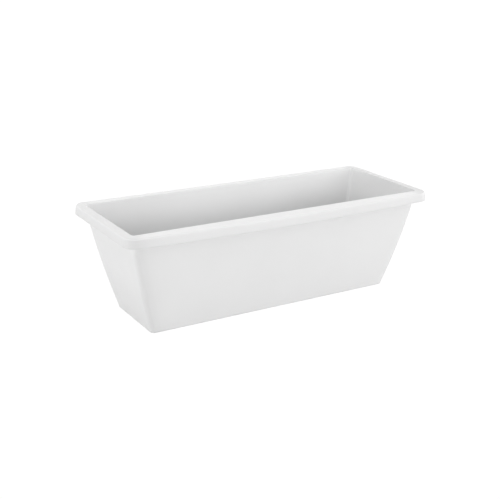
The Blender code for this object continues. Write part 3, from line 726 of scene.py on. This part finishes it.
def half_outline(side, inset, joint):
    """Plan of one half of the false floor: square at the joint, rounded at its outer corners."""
    half = shrink(PLATE_HALF, inset)
    radius = PLATE_CORNER - inset
    points = []
    points += arc(half[0] - radius, -half[1] + radius, radius, -math.pi / 2.0, 0.0, 10)
    points += arc(half[0] - radius, half[1] - radius, radius, 0.0, math.pi / 2.0, 10)
    points += [(joint, half[1]), (joint, -half[1])]
    return [(side * x, y) for x, y in points]


def plate_holes(side):
    """The round openings of one half: centre X and Y, and radius."""
    cups = [middle(cup).x for cup in CUPS]
    holes = [(x, 0.0, CUP_TOP + GAP) for x in cups if x * side > 0.0]
    pass_through = SHAFT_RADIUS if side > 0.0 else GAUGE_RADIUS
    holes.append((side * STATION_X, STATION_Y, pass_through + GAP))
    return holes


def leg_places(side):
    return [(side * x, y) for x in LEG_X for y in (-LEG_Y, LEG_Y)]


def slot_places(side):
    """Air and drainage slots on a grid, wherever nothing else is in the way."""
    half = shrink(PLATE_HALF, LIP_WALL)
    keep_clear = [(x, y, radius + 4.0 * MM) for x, y, radius in plate_holes(side)]
    keep_clear += [(x, y, LEG_HEAD + 1.0 * MM) for x, y in leg_places(side)]
    places = []
    for column in range(SLOT_COLUMNS):
        x = side * (column + 0.8) * SLOT_PITCH[0]
        for row in range(SLOT_ROWS):
            y = (row - (SLOT_ROWS - 1) / 2.0) * SLOT_PITCH[1]
            nearest = [max(0.0, abs(y - py) - SLOT[1] / 2.0) for px, py, radius in keep_clear]
            clear = all(math.hypot(x - px, gap_y) > radius + SLOT[0] / 2.0
                        for (px, py, radius), gap_y in zip(keep_clear, nearest))
            inside = abs(x) < half[0] - 6.0 * MM and abs(y) + SLOT[1] / 2.0 < half[1] - 2.0 * MM
            if clear and inside:
                places.append((x, y))
    return places


def make_separator(name, side):
    edge = 0.35 * MM
    outlines = [half_outline(side, 0.0, GAP)]
    outlines += [circle(x, y, radius) for x, y, radius in plate_holes(side)]
    outlines += [obround(x, y, *SLOT) for x, y in slot_places(side)]
    plate = new_object(name, plate_mesh(name, outlines, PLATE_Z, PLATE_TOP, edge))
    lip_low = PLATE_Z + 1.0 * MM
    lip = plate_mesh("lip", [half_outline(side, 0.0, GAP)], lip_low, LIP_TOP, 0.6 * MM)
    tray_outline = half_outline(side, LIP_WALL, -5.0 * MM)
    tray = plate_mesh("tray", [tray_outline], PLATE_TOP - 3.0 * MM, LIP_TOP + 3.0 * MM)
    wall = new_object("lip_wall", lip)
    combine(wall, tray, "DIFFERENCE")
    lip_mesh = wall.data
    bpy.data.objects.remove(wall, do_unlink=True)
    combine(plate, lip_mesh, "UNION")
    root = LEG_HEAD + 1.2 * MM
    root_top = PLATE_Z + 1.2 * MM
    section = fillet([(0.0, root_top), (root, root_top), (root, PLATE_Z - 0.5 * MM, 0.5 * MM),
                      (LEG_HEAD, PLATE_Z - 3.0 * MM, 2.0 * MM), (LEG_FOOT, LEG_BOTTOM, 1.0 * MM),
                      (0.0, LEG_BOTTOM)])
    for x, y in leg_places(side):
        combine(plate, lathe("leg", section, SMALL_STEPS), "UNION", Matrix.Translation((x, y, 0.0)))
    if side > 0.0:
        add_tabs(plate)
    even_normals(plate)
    return plate


def add_tabs(plate):
    """Two tongues that reach under the other half and lock the halves together."""
    top = PLATE_Z - GAP
    for y in (-TAB_Y, TAB_Y):
        low_y = y - TAB_WIDTH / 2.0
        high_y = y + TAB_WIDTH / 2.0
        root = rounded_box((1.0 * MM, low_y + 1.0 * MM, top - 1.5 * MM),
                           (5.0 * MM, high_y - 1.0 * MM, PLATE_Z + 1.0 * MM), 0.1 * MM)
        combine(plate, root, "UNION")
        tongue = rounded_box((-TAB_LENGTH, low_y, top - TAB_THICK), (6.0 * MM, high_y, top), 0.5 * MM)
        combine(plate, tongue, "UNION")


# --- soil cups -----------------------------------------------------------------------------------

def cup_mesh():
    top = PLATE_TOP + GAP + FLANGE_THICK
    foot = FLOOR_Z + CUP_CLEARANCE
    section = fillet([(0.0, foot + CUP_WALL), (CUP_FOOT - CUP_WALL, foot + CUP_WALL, 1.5 * MM),
                      (CUP_TOP - CUP_WALL, top, 1.0 * MM), (CUP_FLANGE, top, 0.8 * MM),
                      (CUP_FLANGE, top - FLANGE_THICK, 0.4 * MM), (CUP_TOP, top - FLANGE_THICK),
                      (CUP_FOOT, foot, 2.0 * MM), (0.0, foot)])
    cup = new_object("cup", lathe("cup", section))
    for index in range(CUP_SLOTS):
        slot = plate_mesh("slot", [obround(0.0, 0.0, *CUP_SLOT)], 12.0 * MM, 34.0 * MM)
        turn = Matrix.Rotation(2.0 * math.pi * index / CUP_SLOTS + math.pi / 2.0, 4, "Z")
        combine(cup, slot, "DIFFERENCE", turn @ upright(0.0, 0.0, CUP_SLOT_Z))
    corners = ((-1, -1), (-1, 1), (1, -1), (1, 1))
    around = [(CUP_HOLE_PITCH * sign_x, CUP_HOLE_PITCH * sign_y) for sign_x, sign_y in corners]
    for x, y in [(0.0, 0.0)] + around:
        drill = plate_mesh("drill", [circle(x, y, CUP_HOLE, 20)], FLOOR_Z, 16.0 * MM)
        combine(cup, drill, "DIFFERENCE")
    mesh = cup.data
    bpy.data.objects.remove(cup, do_unlink=True)
    return mesh


# --- filling shaft and lid -----------------------------------------------------------------------

def tube_section(outer, wall, low, high, flange):
    """A tube with a collar that rests on the false floor."""
    collar_low = PLATE_TOP + GAP
    collar_high = collar_low + FLANGE_THICK
    return [(outer - wall, high, 0.6 * MM), (outer, high, 0.6 * MM), (outer, collar_high, 1.2 * MM),
            (flange, collar_high, 0.6 * MM), (flange, collar_low, 0.3 * MM), (outer, collar_low),
            (outer, low, 0.5 * MM), (outer - wall, low, 0.5 * MM)]


def ear_mesh(low_y, high_y):
    """One hinge ear: a plate across Y with a round head."""
    edge = 0.2 * MM
    outline = arc(0.0, 0.0, EAR_HALF - edge, 0.0, math.pi, 16)
    outline += [(-EAR_HALF, -EAR_DROP), (EAR_HALF, -EAR_DROP)]
    return plate_mesh("ear", [outline], low_y, high_y, edge)


def bore_for_pin(obj):
    """Bore a piece for the hinge pin, with a running gap."""
    radius = PIN_RADIUS + GAP
    reach = 10.0 * MM
    bore = lathe("bore", [(0.0, reach), (radius, reach), (radius, -reach), (0.0, -reach)], SMALL_STEPS)
    combine(obj, bore, "DIFFERENCE", along_y(HINGE_REACH, HINGE_Z))


def make_shaft():
    section = tube_section(SHAFT_RADIUS, SHAFT_WALL, LEG_BOTTOM, SHAFT_TOP, SHAFT_FLANGE)
    shaft = new_object("filling_tube", lathe("filling_tube", fillet(section, closed=True), closed=True))
    shelf_reach = HINGE_REACH + EAR_HALF
    shelf = [(14.3 * MM, 146.0 * MM), (14.3 * MM, 134.0 * MM), (15.2 * MM, 134.0 * MM),
             (shelf_reach, 141.0 * MM), (shelf_reach, 146.0 * MM)]
    shelf_mesh = plate_mesh("shelf", [shelf], -EAR_OUTER, EAR_OUTER, 0.25 * MM)
    combine(shaft, shelf_mesh, "UNION", upright(0.0, 0.0, 0.0))
    for low_y, high_y in ((-EAR_OUTER, -EAR_INNER), (EAR_INNER, EAR_OUTER)):
        combine(shaft, ear_mesh(low_y, high_y), "UNION", upright(HINGE_REACH, 0.0, HINGE_Z))
    bore_for_pin(shaft)
    notch_half = NOTCH[0] / 2.0
    for index in (2, 3):
        arch = arc(0.0, LEG_BOTTOM + NOTCH[1] - notch_half, notch_half, 0.0, math.pi, 12)
        arch += [(-notch_half, -2.0 * MM), (notch_half, -2.0 * MM)]
        cutter = plate_mesh("arch", [arch], 8.0 * MM, 20.0 * MM)
        combine(shaft, cutter, "DIFFERENCE", turned_about_z(index) @ upright(0.0, 0.0, 0.0))
    shaft.data.transform(Matrix.Translation((STATION_X, STATION_Y, 0.0)))
    even_normals(shaft)
    return shaft


def drop_outline(size, steps=28):
    """A plain drop of water: a round foot drawn up to a point."""
    points = []
    for step in range(steps):
        angle = 2.0 * math.pi * step / steps
        width = size * math.sin(angle) * math.sin(angle / 2.0) ** 1.6
        points.append((-size * 1.1 * math.cos(angle), width))
    return points


def make_lid():
    low = SHAFT_TOP + GAP
    high = low + LID_THICK
    dish = high - 0.4 * MM
    skirt_low = low - 3.0 * MM
    ceiling = low + 0.7 * MM
    section = fillet([(0.0, dish), (11.0 * MM, dish, 0.3 * MM), (11.6 * MM, high, 0.3 * MM),
                      (LID_RADIUS, high, 1.0 * MM), (LID_RADIUS, low, 0.3 * MM),
                      (LID_PLUG[1], low, 0.3 * MM), (LID_PLUG[1], skirt_low, 0.5 * MM),
                      (LID_PLUG[0], skirt_low, 0.5 * MM), (LID_PLUG[0], ceiling, 0.4 * MM), (0.0, ceiling)])
    lid = new_object("filling_lid", lathe("filling_lid", section))
    width = 3.4 * MM
    arm = rounded_box((LID_RADIUS - 2.5 * MM, -width, low + 0.3 * MM),
                      (HINGE_REACH, width, high - 0.3 * MM), 0.3 * MM)
    combine(lid, arm, "UNION")
    grip = rounded_box((-LID_RADIUS - 4.0 * MM, -4.5 * MM, low + 0.8 * MM),
                       (-LID_RADIUS + 2.5 * MM, 4.5 * MM, high - 0.5 * MM), 0.6 * MM)
    combine(lid, grip, "UNION")
    half = EAR_INNER - GAP
    knuckle = fillet([(0.0, half), (KNUCKLE_RADIUS, half, 0.3 * MM),
                      (KNUCKLE_RADIUS, -half, 0.3 * MM), (0.0, -half)])
    combine(lid, lathe("knuckle", knuckle, SMALL_STEPS), "UNION", along_y(HINGE_REACH, HINGE_Z))
    bore_for_pin(lid)
    drop = plate_mesh("drop", [drop_outline(5.2 * MM)], high - 1.0 * MM, high - 0.05 * MM, 0.15 * MM)
    combine(lid, drop, "UNION")
    lid.data.transform(Matrix.Translation((STATION_X, STATION_Y, 0.0)))
    even_normals(lid)
    return lid


def make_pin():
    half = EAR_OUTER
    section = fillet([(0.0, half), (PIN_RADIUS, half, 0.3 * MM),
                      (PIN_RADIUS, -half, 0.3 * MM), (0.0, -half)])
    pin = new_object("hinge_pin", lathe("hinge_pin", section, SMALL_STEPS))
    lie = along_y(STATION_X + HINGE_REACH, HINGE_Z)
    pin.data.transform(Matrix.Translation((0.0, STATION_Y, 0.0)) @ lie)
    even_normals(pin)
    return pin


# --- water gauge ---------------------------------------------------------------------------------

def at_gauge(obj):
    obj.data.transform(Matrix.Translation((-STATION_X, STATION_Y, 0.0)))
    even_normals(obj)
    return obj


def make_gauge_tube():
    section = tube_section(GAUGE_RADIUS, GAUGE_WALL, GAUGE_FOOT, GAUGE_TOP, GAUGE_FLANGE)[:-1]
    inner = GAUGE_RADIUS - GAUGE_WALL
    shelf_top = GAUGE_FOOT + 2.0 * MM
    section += [(GAUGE_INLET, GAUGE_FOOT, 0.5 * MM), (GAUGE_INLET, shelf_top, 0.5 * MM),
                (inner, shelf_top, 0.4 * MM)]
    tube = new_object("gauge_housing", lathe("gauge_housing", fillet(section, closed=True), closed=True))
    for index in range(4):
        slot = plate_mesh("slot", [obround(0.0, 0.0, 4.0 * MM, 20.0 * MM)], 8.0 * MM, 20.0 * MM)
        place = turned_about_z(index) @ upright(0.0, 0.0, GAUGE_FOOT + 15.0 * MM)
        combine(tube, slot, "DIFFERENCE", place)
    return at_gauge(tube)


def make_gauge_cap():
    """The clear cap over the tube, with a raised line for high water and one for low."""
    outer = GAUGE_RADIUS
    inner = outer - GAUGE_WALL
    socket = outer + GAP
    low = GAUGE_TOP - 6.5 * MM
    seat = GAUGE_TOP + GAP
    sleeve = socket + 1.6 * MM
    mark_edge = outer + 0.5 * MM
    section = [(0.0, CAP_TOP), (7.0 * MM, CAP_TOP - 0.3 * MM, 6.0 * MM),
               (outer, CAP_TOP - 5.0 * MM, 5.0 * MM)]
    for mark in (seat + 36.0 * MM, seat + 8.0 * MM):
        section += [(outer, mark + 0.6 * MM), (mark_edge, mark + 0.3 * MM, 0.1 * MM),
                    (mark_edge, mark - 0.3 * MM, 0.1 * MM), (outer, mark - 0.6 * MM)]
    section += [(outer, seat + 2.4 * MM, 1.0 * MM), (sleeve, seat + 0.6 * MM, 0.8 * MM),
                (sleeve, low, 0.5 * MM), (socket, low, 0.3 * MM), (socket, seat),
                (inner, seat, 0.3 * MM), (inner, CAP_TOP - 6.0 * MM, 4.0 * MM),
                (6.0 * MM, CAP_TOP - 2.3 * MM, 5.0 * MM), (0.0, CAP_TOP - 2.0 * MM)]
    return at_gauge(new_object("gauge_window", lathe("gauge_window", fillet(section))))


def make_float():
    bore = STEM_RADIUS + GAP
    bottom = FLOAT_TOP - FLOAT_SOCKET
    section = fillet([(0.0, bottom), (bore, bottom), (bore, FLOAT_TOP, 0.4 * MM),
                      (FLOAT_RADIUS, FLOAT_TOP, 2.0 * MM), (FLOAT_RADIUS, FLOAT_BOTTOM, 2.0 * MM),
                      (0.0, FLOAT_BOTTOM)])
    return at_gauge(new_object("float_body", lathe("float_body", section)))


def make_stem():
    flag_low = GAUGE_TOP + 1.0 * MM
    flag_high = flag_low + FLAG_THICK
    foot = FLOAT_TOP - FLOAT_SOCKET + GAP
    section = fillet([(0.0, flag_high), (FLAG_RADIUS, flag_high, 1.6 * MM),
                      (FLAG_RADIUS, flag_low, 1.0 * MM), (STEM_RADIUS, flag_low, 1.0 * MM),
                      (STEM_RADIUS, foot, 0.4 * MM), (0.0, foot)])
    return at_gauge(new_object("float_stem", lathe("float_stem", section)))


# --- plugs in the back wall ----------------------------------------------------------------------

def in_back_wall(name, section, place, closed=False):
    """A turned piece in one of the back wall's holes."""
    node_name, z = place[:2]
    piece = new_object(name, lathe(name, fillet(section, closed=closed), closed=closed))
    piece.data.transform(along_y(middle(node_name).x, z))
    even_normals(piece)
    return piece


def plug_section(stem, inner_end, seat, head, knob):
    """A stem in the hole, a head on its seat and a knob to pull it by."""
    top = seat + PLUG_HEAD
    end = top + PLUG_KNOB
    return [(0.0, end), (knob, end, 0.8 * MM), (knob - 0.5 * MM, top + 1.4 * MM, 0.6 * MM),
            (knob - 0.1 * MM, top, 0.6 * MM), (head, top, 0.7 * MM), (head, seat, 0.4 * MM),
            (stem, seat, 0.2 * MM), (stem, inner_end + 2.0 * MM, 0.5 * MM),
            (stem - 1.2 * MM, inner_end, 0.4 * MM), (0.0, inner_end)]


def make_stopper():
    hole, boss, inner_y, outer_y = OVERFLOW[2:]
    section = plug_section(hole - GAP, inner_y + GAP, outer_y + GAP, boss, 4.0 * MM)
    return in_back_wall("stopper", section, OVERFLOW)


def make_drain_plug():
    hole, boss = DRAIN[2:4]
    seat = DRAIN[-1] + GASKET_THICK + 2.0 * GAP
    return in_back_wall("plug", plug_section(hole - GAP, DRAIN_STEM_END, seat, boss, 3.5 * MM), DRAIN)


def make_gasket():
    hole, boss = DRAIN[2:4]
    low = DRAIN[-1] + GAP
    high = low + GASKET_THICK
    outer = boss - 0.4 * MM
    corners = ((hole, high), (outer, high), (outer, low), (hole, low))
    section = [(radius, level, 0.6 * MM) for radius, level in corners]
    return in_back_wall("washer", section, DRAIN, closed=True)


# --- camera, light and floor ---------------------------------------------------------------------

CAMERA_AZIMUTH = math.radians(-31.702)
CAMERA_ELEVATION = math.radians(18.937)
CAMERA_ROLL = math.radians(1.105)
CAMERA_DISTANCE = 1.68471
CAMERA_AIM = (-9.05 * MM, 82.72 * MM)      # sideways and upwards, across the view
LENS_LENGTH = 66.0168                      # in millimetres, as Blender's lenses are
SENSOR_WIDTH = 36.0
TABLE_TONE = 0.8
SHEET_BRIGHTNESS = 1.03
LIGHT_SIZE = 1.2
LIGHT_DISTANCE = 2.4


def make_camera():
    back = Vector((math.sin(CAMERA_AZIMUTH) * math.cos(CAMERA_ELEVATION),
                   -math.cos(CAMERA_AZIMUTH) * math.cos(CAMERA_ELEVATION), math.sin(CAMERA_ELEVATION)))
    right = (-back).cross(Vector((0.0, 0.0, 1.0))).normalized()
    up = right.cross(-back)
    right, up = (math.cos(CAMERA_ROLL) * right + math.sin(CAMERA_ROLL) * up,
                 math.cos(CAMERA_ROLL) * up - math.sin(CAMERA_ROLL) * right)
    place = Matrix((right, up, back)).transposed().to_4x4()
    place.translation = back * CAMERA_DISTANCE + right * CAMERA_AIM[0] + up * CAMERA_AIM[1]
    lens = bpy.data.cameras.new("camera")
    lens.sensor_width = SENSOR_WIDTH
    lens.lens = LENS_LENGTH
    lens.clip_end = 100.0
    camera = new_object("camera", lens)
    camera.matrix_world = place
    bpy.context.scene.camera = camera


def heading(azimuth, elevation):
    """A direction from the planter; azimuth 0 is in front of it, and 90 to its right."""
    turn = math.radians(azimuth)
    lift = math.radians(elevation)
    return Vector((math.sin(turn) * math.cos(lift), -math.cos(turn) * math.cos(lift), math.sin(lift)))


def softbox(name, azimuth, elevation, power):
    """A soft square light that faces the planter."""
    direction = heading(azimuth, elevation)
    lamp = bpy.data.lights.new(name, "AREA")
    lamp.shape = "RECTANGLE"
    lamp.size = LIGHT_SIZE
    lamp.size_y = LIGHT_SIZE
    lamp.energy = power
    light = new_object(name, lamp)
    light.location = Vector((0.0, 0.0, HEIGHT / 2.0)) + direction * LIGHT_DISTANCE
    light.rotation_mode = "QUATERNION"
    light.rotation_quaternion = (-direction).to_track_quat("-Z", "Y")
    light.visible_camera = False


def arithmetic(tree, operation, source, value):
    made = node(tree, "ShaderNodeMath", operation=operation)
    tree.links.new(source.outputs["Value"], made.inputs[0])
    made.inputs[1].default_value = value
    return made


def make_world(strength, lobes):
    """An even white surround, with soft lobes of more light or less. Each is azimuth, elevation,
    tightness and amount."""
    world = bpy.data.worlds.new("studio")
    world.use_nodes = True
    tree = world.node_tree
    background = tree.nodes["Background"]
    background.inputs["Color"].default_value = (1.0, 1.0, 1.0, 1.0)
    place = node(tree, "ShaderNodeTexCoord")
    total = node(tree, "ShaderNodeValue")
    total.outputs["Value"].default_value = strength
    socket = total.outputs["Value"]
    for azimuth, elevation, tightness, amount in lobes:
        facing = node(tree, "ShaderNodeVectorMath", operation="DOT_PRODUCT")
        facing.inputs[1].default_value = heading(azimuth, elevation)
        tree.links.new(place.outputs["Generated"], facing.inputs[0])
        front = arithmetic(tree, "MAXIMUM", facing, 0.0)
        falloff = arithmetic(tree, "POWER", front, tightness)
        share = arithmetic(tree, "MULTIPLY_ADD", falloff, amount)
        tree.links.new(socket, share.inputs[2])
        socket = share.outputs["Value"]
    tree.links.new(socket, background.inputs["Strength"])
    bpy.context.scene.world = world


def flat_square(name, z, half=12.0):
    mesh = bpy.data.meshes.new(name)
    mesh.from_pydata([(-half, -half, z), (half, -half, z), (half, half, z), (-half, half, z)],
                     [], [(0, 1, 2, 3)])
    square = new_object(name, mesh)
    material = bpy.data.materials.new(name)
    material.use_nodes = True
    mesh.materials.append(material)
    return square, material.node_tree.nodes["Principled BSDF"]


def make_floor():
    """A pale table that takes and returns light, under a white sheet that only the camera sees."""
    table, table_shader = flat_square("table", 0.0)
    table_shader.inputs["Base Color"].default_value = (TABLE_TONE, TABLE_TONE, TABLE_TONE, 1.0)
    table_shader.inputs["Roughness"].default_value = 0.9
    table.visible_camera = False
    sheet, sheet_shader = flat_square("floor", -1.0 * MM)
    sheet_shader.inputs["Base Color"].default_value = (0.0, 0.0, 0.0, 1.0)
    sheet_shader.inputs["Specular IOR Level"].default_value = 0.0
    sheet_shader.inputs["Emission Color"].default_value = (1.0, 1.0, 1.0, 1.0)
    sheet_shader.inputs["Emission Strength"].default_value = SHEET_BRIGHTNESS
    sheet.data.materials[0].cycles.emission_sampling = "NONE"
    sheet.visible_diffuse = False
    sheet.visible_glossy = False
    sheet.visible_shadow = False


# --- putting it together -------------------------------------------------------------------------

TROUGH_COLOUR = (0.74, 0.74, 0.74)
INSERT_COLOUR = (0.62, 0.63, 0.63)
CUP_COLOUR = (0.30, 0.31, 0.32)

# the trough's colour is multiplied by the painted light and shade stored as its tone
trough_plastic = moulded("trough_plastic", TROUGH_COLOUR, 0.36, translucency=0.1, painted_shading_attribute="tone")
insert_plastic = moulded("insert_plastic", INSERT_COLOUR, 0.48)
cup_plastic = moulded("cup_plastic", CUP_COLOUR, 0.5)
clear_plastic = moulded("clear_plastic", (0.92, 0.95, 0.96), 0.1, grain=0.002 * MM, mottle=0.01,
                        transmission=0.95)
float_foam = moulded("float_foam", (0.86, 0.86, 0.84), 0.7, grain=0.15 * MM, mottle=0.04)
indicator_plastic = moulded("indicator_plastic", (0.62, 0.05, 0.03), 0.35)
stopper_rubber = moulded("stopper_rubber", CUP_COLOUR, 0.65, mottle=0.06)
gasket_rubber = moulded("gasket_rubber", (0.03, 0.03, 0.03), 0.6, mottle=0.2)

stand_for(make_trough(), "box", trough_plastic, "trough_plastic", "planter_box")
for side_name, side_sign in (("left", -1.0), ("right", 1.0)):
    half_floor = make_separator(f"false_floor_{side_name}", side_sign)
    stand_for(half_floor, "insert", insert_plastic, "insert_plastic", f"separator_{side_name}")
shared_cup = cup_mesh()
for number, cup_node in enumerate(CUPS, start=1):
    cup = new_object(f"soil_cup_{number}", shared_cup.copy())
    cup.data.transform(Matrix.Translation((middle(cup_node).x, 0.0, 0.0)))
    even_normals(cup)
    stand_for(cup, "insert", cup_plastic, "cup_plastic", cup_node)
stand_for(make_shaft(), "insert", insert_plastic, "insert_plastic", "fill_shaft")
stand_for(make_lid(), "lid", cup_plastic, "cup_plastic", "fill_lid")
stand_for(make_pin(), "insert", insert_plastic, "insert_plastic", "lid_pin")
stand_for(make_gauge_tube(), "insert", insert_plastic, "insert_plastic", "gauge_tube")
stand_for(make_gauge_cap(), "insert", clear_plastic, "clear_plastic", "gauge_cap")
stand_for(make_float(), "float", float_foam, "float_foam", "gauge_float")
stand_for(make_stem(), "float", indicator_plastic, "indicator_plastic", "gauge_stem")
stand_for(make_stopper(), "stopper", stopper_rubber, "stopper_rubber", "overflow_stopper")
stand_for(make_drain_plug(), "plug", cup_plastic, "cup_plastic", "drain_plug")
stand_for(make_gasket(), "plug", gasket_rubber, "gasket_rubber", "drain_gasket")

make_camera()
make_world(1.36, ((0.0, 90.0, 3.0, -0.9), (0.0, 5.0, 4.0, 0.3)))
make_floor()
softbox("left_light", -100.0, 12.0, 3.8)
softbox("right_light", 65.0, 12.0, 8.0)
bpy.context.scene.view_settings.view_transform = "Standard"
